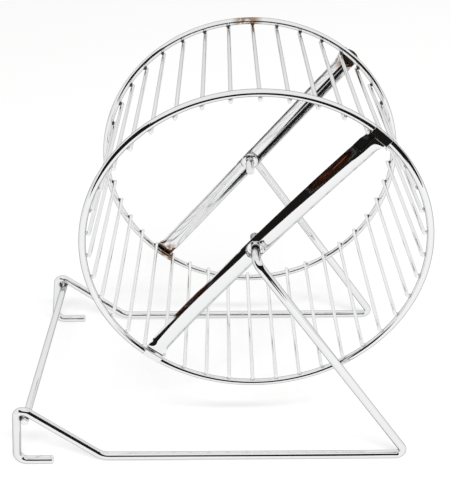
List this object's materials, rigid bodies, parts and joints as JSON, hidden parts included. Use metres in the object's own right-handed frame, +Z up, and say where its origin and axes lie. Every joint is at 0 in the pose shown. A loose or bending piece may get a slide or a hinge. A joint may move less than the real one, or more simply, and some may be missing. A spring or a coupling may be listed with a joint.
{
  "type": "small-animal exercise wheel",
  "caption": "Chromed wire running wheel for a hamster: two rings joined by rungs and crossed by pressed straps, turning freely on the turned-in ends of a bent-wire stand.",
  "frame": {"origin": "on the floor, under the middle of the whole bounding box", "axes": "+Z up, +X from the hooks towards the toes of the stand, +Y along the wheel's axle from the front side frame to the rear one"},
  "size_m": [0.1813, 0.1076, 0.1778],
  "materials": {
    "rim_chrome": "bright plated",
    "rung_chrome": "bright plated",
    "strap_chrome": "mirror-bright plated",
    "stand_chrome": "bright plated",
    "cross_bar_chrome": "bright plated"
  },
  "bodies": {
    "stand": {"front_side_frame": "stand_chrome", "rear_side_frame": "stand_chrome", "cross_bar": "cross_bar_chrome"},
    "wheel": {"front_rim": "rim_chrome", "rear_rim": "rim_chrome", "front_strap": "strap_chrome", "rear_strap": "strap_chrome", "rung_01": "rung_chrome", "rung_02": "rung_chrome", "rung_03": "rung_chrome", "rung_04": "rung_chrome", "rung_05": "rung_chrome", "rung_06": "rung_chrome", "rung_07": "rung_chrome", "rung_08": "rung_chrome", "rung_09": "rung_chrome", "rung_10": "rung_chrome", "rung_11": "rung_chrome", "rung_12": "rung_chrome", "rung_13": "rung_chrome", "rung_14": "rung_chrome", "rung_15": "rung_chrome", "rung_16": "rung_chrome", "rung_17": "rung_chrome", "rung_18": "rung_chrome", "rung_19": "rung_chrome", "rung_20": "rung_chrome", "rung_21": "rung_chrome", "rung_22": "rung_chrome", "rung_23": "rung_chrome", "rung_24": "rung_chrome", "rung_25": "rung_chrome", "rung_26": "rung_chrome", "rung_27": "rung_chrome", "rung_28": "rung_chrome", "rung_29": "rung_chrome", "rung_30": "rung_chrome", "rung_31": "rung_chrome", "rung_32": "rung_chrome", "rung_33": "rung_chrome", "rung_34": "rung_chrome", "rung_35": "rung_chrome", "rung_36": "rung_chrome", "rung_37": "rung_chrome", "rung_38": "rung_chrome", "rung_39": "rung_chrome", "rung_40": "rung_chrome"}
  },
  "joints": [
    {"name": "wheel_spin", "type": "hinge", "parent": "stand", "child": "wheel", "pos_m": [0.02067, -0.002, 0.1078], "axis": [0, 1, 0], "continuous": true}
  ]
}
